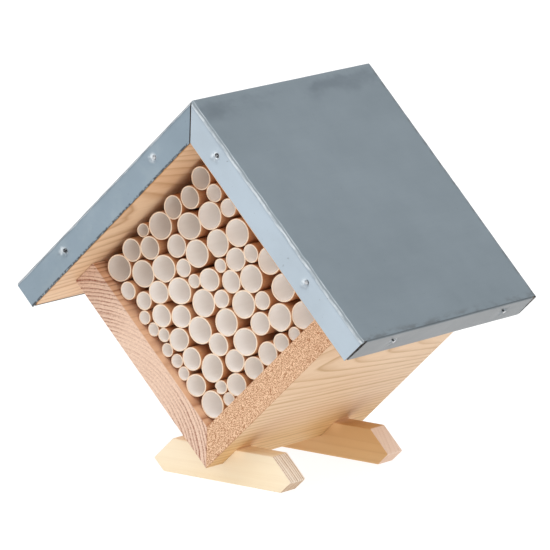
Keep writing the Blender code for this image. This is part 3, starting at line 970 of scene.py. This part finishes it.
def make_canes(roof):
    finishes = bamboo_finishes(roof)
    tree = cane_tree(*finishes)
    nodes = sorted(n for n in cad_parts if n.startswith("cane"))
    mouths = [mouth for node in nodes for mouth in cane_mouths(node)]
    mouths.sort(key=lambda mouth: (round(mouth[1].z / (4 * MM)), mouth[1].x))
    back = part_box(nodes[0])[1].y
    draw = random.Random(12)
    for number, (node, middle, radius, wall) in enumerate(mouths, 1):
        sink = draw.uniform(-0.5, 0.9) * MM
        nick = draw.uniform(0.5, 1.1) * MM if number % 9 == 4 else 0.0
        values = {
            "Radius": radius + CANE_FILL,
            "Wall": wall * WALL_SHARE,
            "Length": back - middle.y - sink,
            "Mouth": (middle.x, middle.y + sink, middle.z),
            "Oval": draw.uniform(0.0, 0.03),
            "Turn": draw.uniform(0, math.pi),
            "Slant": (draw.uniform(-0.05, 0.05), 0, draw.uniform(-0.05, 0.05)),
            "Nick": nick,
            "Nick Turn": draw.uniform(3.4, 5.2),
            "Joint": draw.uniform(0.012, 0.11),
            "Tone": draw.random(),
            "Seed": number * 3.7,
        }
        name = f"bamboo_{number:02d}"
        mesh = grow(name, tree, [(0, 0, 0)], values)
        face_out(mesh)
        piece(name, mesh, finishes, "bamboo", node)


def face_out(mesh):
    """Turn a closed mesh's faces outward."""
    body = bmesh.new()
    body.from_mesh(mesh)
    bmesh.ops.recalc_face_normals(body, faces=body.faces)
    body.to_mesh(mesh)
    body.free()


PIN_HEAD = 1.05 * MM                    # radius
PIN_DOME = 0.45 * MM
PIN_SUNK = 1.0 * MM                     # the dents take the heads below the sheet
PIN_SHORT = 1.6 * MM                    # the sunk shaft ends before the CAD pin's tip


def pin_tree(finish):
    """A round-headed pin: one shaft and one domed head, turned the way its CAD pin faces."""
    tree, given = geometry_tree("roof_pin", {
        "Head": PIN_HEAD, "Dome": PIN_DOME, "Length": 0.01, "Facing": (0, 0, 1)})
    grid, row, turn = outline_grid(tree, 24, 12)
    width = [(0, 0), (0.2, 0.45), (0.45, 0.85), (0.6, 1), (0.7, 1), (0.71, 0.48), (0.9, 0.48), (1, 0)]
    fall = [(0, 0), (0.2, 0.05), (0.45, 0.25), (0.6, 0.55), (0.7, 1), (1, 1)]
    dome = tree.curve(row, width)
    drop = tree.curve(row, fall)
    shaft = tree.smooth(row, 0.72, 0.95)
    x = tree.math("COSINE", turn) * dome * given["Head"]
    y = tree.math("SINE", turn) * dome * given["Head"]
    z = (1.0 - drop) * given["Dome"] - shaft * given["Length"]
    shaped = tree.node("GeometryNodeSetPosition", None, {"Geometry": grid, "Position": tree.join(x, y, z)})
    closed = tree.node("GeometryNodeMergeByDistance", None, {"Geometry": shaped, "Distance": 0.002 * MM})
    smooth = tree.node("GeometryNodeSetShadeSmooth", None, {"Geometry": closed})
    aim = tree.node("FunctionNodeAlignRotationToVector", {"axis": "Z"}, {"Vector": given["Facing"]})
    placed = tree.node("GeometryNodeInstanceOnPoints", None,
                       {"Points": given["Geometry"], "Instance": smooth, "Rotation": aim})
    real = tree.node("GeometryNodeRealizeInstances", None, {"Geometry": placed})
    finish_tree(tree, tree.node("GeometryNodeSetMaterial", None, {"Geometry": real, "Material": finish}))
    return tree


def make_pins(pins):
    finish = pin_steel()
    tree = pin_tree(finish)
    for name, middle, out, length in pins:
        head = middle + out * (length / 2 - PIN_DOME - PIN_SUNK)
        values = {"Length": length - PIN_SHORT, "Facing": tuple(out)}
        mesh = grow("round_" + name, tree, [tuple(head)], values)
        face_out(mesh)
        piece("round_" + name, mesh, [finish], "pin_steel", name)


# --- stage ----------------------------------------------------------------------------------

FLOOR_GLOW = 0.88                       # keeps the floor pale where the object shades it
SKY = 0.95
LAMPS = (("key", (-0.9, -1.6, 1.9), 1.2, 12),    # name, place, size in metres, watts
         ("fill", (1.8, -1.0, 0.9), 1.4, 5))
LAMP_AIM = Vector((0, 0, 0.1))
CAMERA_ANGLES = (35.56, 11.38, 1.43)    # degrees round from the front, up, and tipped
CAMERA_DISTANCE = 3.391
CAMERA_AIM = Vector((0.01026, -0.016, 0.10269))
CAMERA_LENS = 446.4


def make_stage():
    paper = Finish("floor_paper", roughness=0.9)
    shade = paper.grain(paper.place(), 3, 2.0)
    paper.set("Base Color", paper.mix(shade, (0.24, 0.24, 0.24), (0.26, 0.26, 0.26)))
    paper.set("Specular IOR Level", 0.0)
    paper.set("Emission Color", (1, 1, 1, 1))
    paper.set("Emission Strength", FLOOR_GLOW)
    bpy.ops.mesh.primitive_plane_add(size=14)
    floor = bpy.context.object
    floor.name = "floor"
    floor.data.materials.append(paper.material)

    world = bpy.data.worlds.new("studio")
    world.use_nodes = True
    bpy.context.scene.world = world
    sky = Tree(world.node_tree)
    height = sky.split(sky.node("ShaderNodeTexCoord", output="Generated"))[2]
    low = sky.smooth(height, 0.10, 0.34)
    high = sky.smooth(height, 0.66, 0.80)
    background = world.node_tree.nodes["Background"]
    tone = sky.mix(high, sky.mix(low, (0.42, 0.43, 0.45), (0.92, 0.92, 0.92)), (1.25, 1.25, 1.25))
    sky.plug(tone, background.inputs["Color"])
    background.inputs["Strength"].default_value = SKY

    for name, place, size, power in LAMPS:
        light = bpy.data.lights.new(name, "AREA")
        light.size = size
        light.energy = power
        lamp = bpy.data.objects.new(name, light)
        lamp.location = place
        lamp.rotation_euler = (LAMP_AIM - Vector(place)).to_track_quat("-Z", "Y").to_euler()
        bpy.context.scene.collection.objects.link(lamp)


def make_camera():
    """A long lens from the front right, a little above, tipped slightly to one side."""
    azimuth, elevation, roll = (math.radians(angle) for angle in CAMERA_ANGLES)
    back = Vector((math.sin(azimuth) * math.cos(elevation), -math.cos(azimuth) * math.cos(elevation),
                   math.sin(elevation)))
    level = Vector((math.cos(azimuth), math.sin(azimuth), 0))
    right = level * math.cos(roll) + back.cross(level) * math.sin(roll)
    turned = Matrix((right, back.cross(right), back)).transposed().to_4x4()
    lens = bpy.data.cameras.new("camera")
    lens.lens = CAMERA_LENS
    lens.sensor_width = 36
    lens.clip_end = 50
    camera = bpy.data.objects.new("camera", lens)
    camera.matrix_world = Matrix.Translation(CAMERA_AIM + back * CAMERA_DISTANCE) @ turned
    bpy.context.scene.collection.objects.link(camera)
    bpy.context.scene.camera = camera


def roof_wood():
    left = softwood("left_roof_wood", (0.80, 0.57, 0.37), (0.49, 0.27, 0.13), (-0.092, 0, 0.180),
                    tilt=(0.05, 0, 0.07), ring=2.8 * MM, wander=3.4 * MM, contrast=0.8)
    right = softwood("right_roof_wood", (0.70, 0.47, 0.30), (0.50, 0.27, 0.12), (0.09, 0, 0.2),
                     ring=2.6 * MM, end_early=(0.80, 0.50, 0.26), end_late=(0.62, 0.34, 0.16))
    planed("roof_board_left", "left_roof_board", left, "roof_wood", ROOF_EDGE, ROOF_CORNER, LEFT_PLANED)
    planed("roof_board_right", "right_roof_board", right, "roof_wood", ROOF_EDGE, ROOF_CORNER)


def notch_height():
    """The bottom of both feet's notches."""
    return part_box("lower_board_left")[0].z - FOOT_SEAT


def foot_nooks():
    """Where the top of each foot meets the box, left and right."""
    nooks = []
    for foot in ("foot_front", "foot_back"):
        low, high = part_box(foot)
        reach = high.z - notch_height()
        nooks += [Vector((x, (low.y + high.y) / 2, high.z)) for x in (-reach, reach)]
    return nooks


def meet_roof(board, side, closing):
    """Run a box board's top end on until it meets the roof board."""
    reach = max((vert.co.x * side + vert.co.z) * SLOPE for vert in board.data.vertices)
    for vert in board.data.vertices:
        if (vert.co.x * side + vert.co.z) * SLOPE > reach - 1 * MM:
            vert.co += Vector((side * SLOPE, 0, SLOPE)) * closing


def box_wood():
    left = softwood("left_box_wood", (0.82, 0.52, 0.33), (0.42, 0.19, 0.10), (-0.064, 0, 0.003),
                    ring=2.0 * MM, wander=1.0 * MM, contrast=1.6, end_early=(0.87, 0.64, 0.49),
                    end_late=(0.33, 0.13, 0.08), end_contrast=1.35, speckle=0.26, nooks=foot_nooks(),
                    bands=((0.05, 0.95), (0.17, 0.65), (0.26, 0.28), (0.44, 0.22), (0.485, 0.75),
                           (0.58, 0.95)))
    right = softwood("right_box_wood", (0.76, 0.545, 0.36), (0.50, 0.30, 0.14), (0.083, 0, 0.046),
                     ring=2.6 * MM, wander=2.9 * MM, tilt=(0.05, 0, 0.06), contrast=0.85,
                     end_early=(0.93, 0.64, 0.42), end_late=(0.36, 0.14, 0.05), end_contrast=0.12,
                     speckle=0.90, pore=0.5 * MM, nooks=foot_nooks(), yellowed=(17 * MM, 34 * MM))
    board = planed("lower_board_left", "left_box_board", left, "box_wood")
    meet_roof(board, -1, CLOSE_UP + LEFT_PLANED)
    board = planed("lower_board_right", "right_box_board", right, "box_wood")
    meet_roof(board, 1, CLOSE_UP)


def foot_wood():
    front = softwood("front_foot_wood", (0.94, 0.81, 0.60), (0.74, 0.54, 0.34), (0, -0.14, 0.01),
                     turn=ALONG_X, ring=1.75 * MM, wander=0.5 * MM, contrast=0.4,
                     end_early=(0.97, 0.87, 0.74), end_late=(0.46, 0.28, 0.15), end_contrast=1.1,
                     speckle=0.12, nooks=foot_nooks())
    # painted shade: the back foot's colours are a darker copy of the front foot's, for the shade under the
    # box
    back = softwood("back_foot_wood", (0.68, 0.43, 0.20), (0.54, 0.31, 0.13), (0, -0.03, 0.05),
                    turn=ALONG_X, ring=2.8 * MM, wander=1.0 * MM, contrast=0.4,
                    end_early=(0.86, 0.66, 0.53), end_late=(0.66, 0.44, 0.31), end_contrast=0.35,
                    speckle=0.15, nooks=foot_nooks())
    planed("foot_front", "front_foot", front, "foot_wood", FOOT_EDGE, notch=notch_height())
    planed("foot_back", "back_foot", back, "foot_wood", FOOT_EDGE, notch=notch_height())


def panel_wood():
    panel = softwood("thin_back_wood", (0.66, 0.46, 0.30), (0.50, 0.30, 0.16), (0.05, 0.20, 0.1),
                     turn=(0, 0, 0), ring=4 * MM)
    board = planed("back_panel", "thin_back", panel, "panel_wood", 0.25 * MM)
    low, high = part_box("back_panel")
    larger = 1 + 2 * CLOSE_UP / SLOPE / (high.x - low.x)
    for vert in board.data.vertices:
        vert.co.x *= larger
        vert.co.z += (vert.co.z - (low.z + high.z) / 2) * (larger - 1)


def main():
    bpy.context.scene.view_settings.view_transform = "Standard"
    make_camera()
    pins = pin_places()
    roof_wood()
    box_wood()
    foot_wood()
    panel_wood()
    roof = Roof()
    folded_roof(roof, pins)
    make_pins(pins)
    make_canes(roof)
    make_stage()


main()
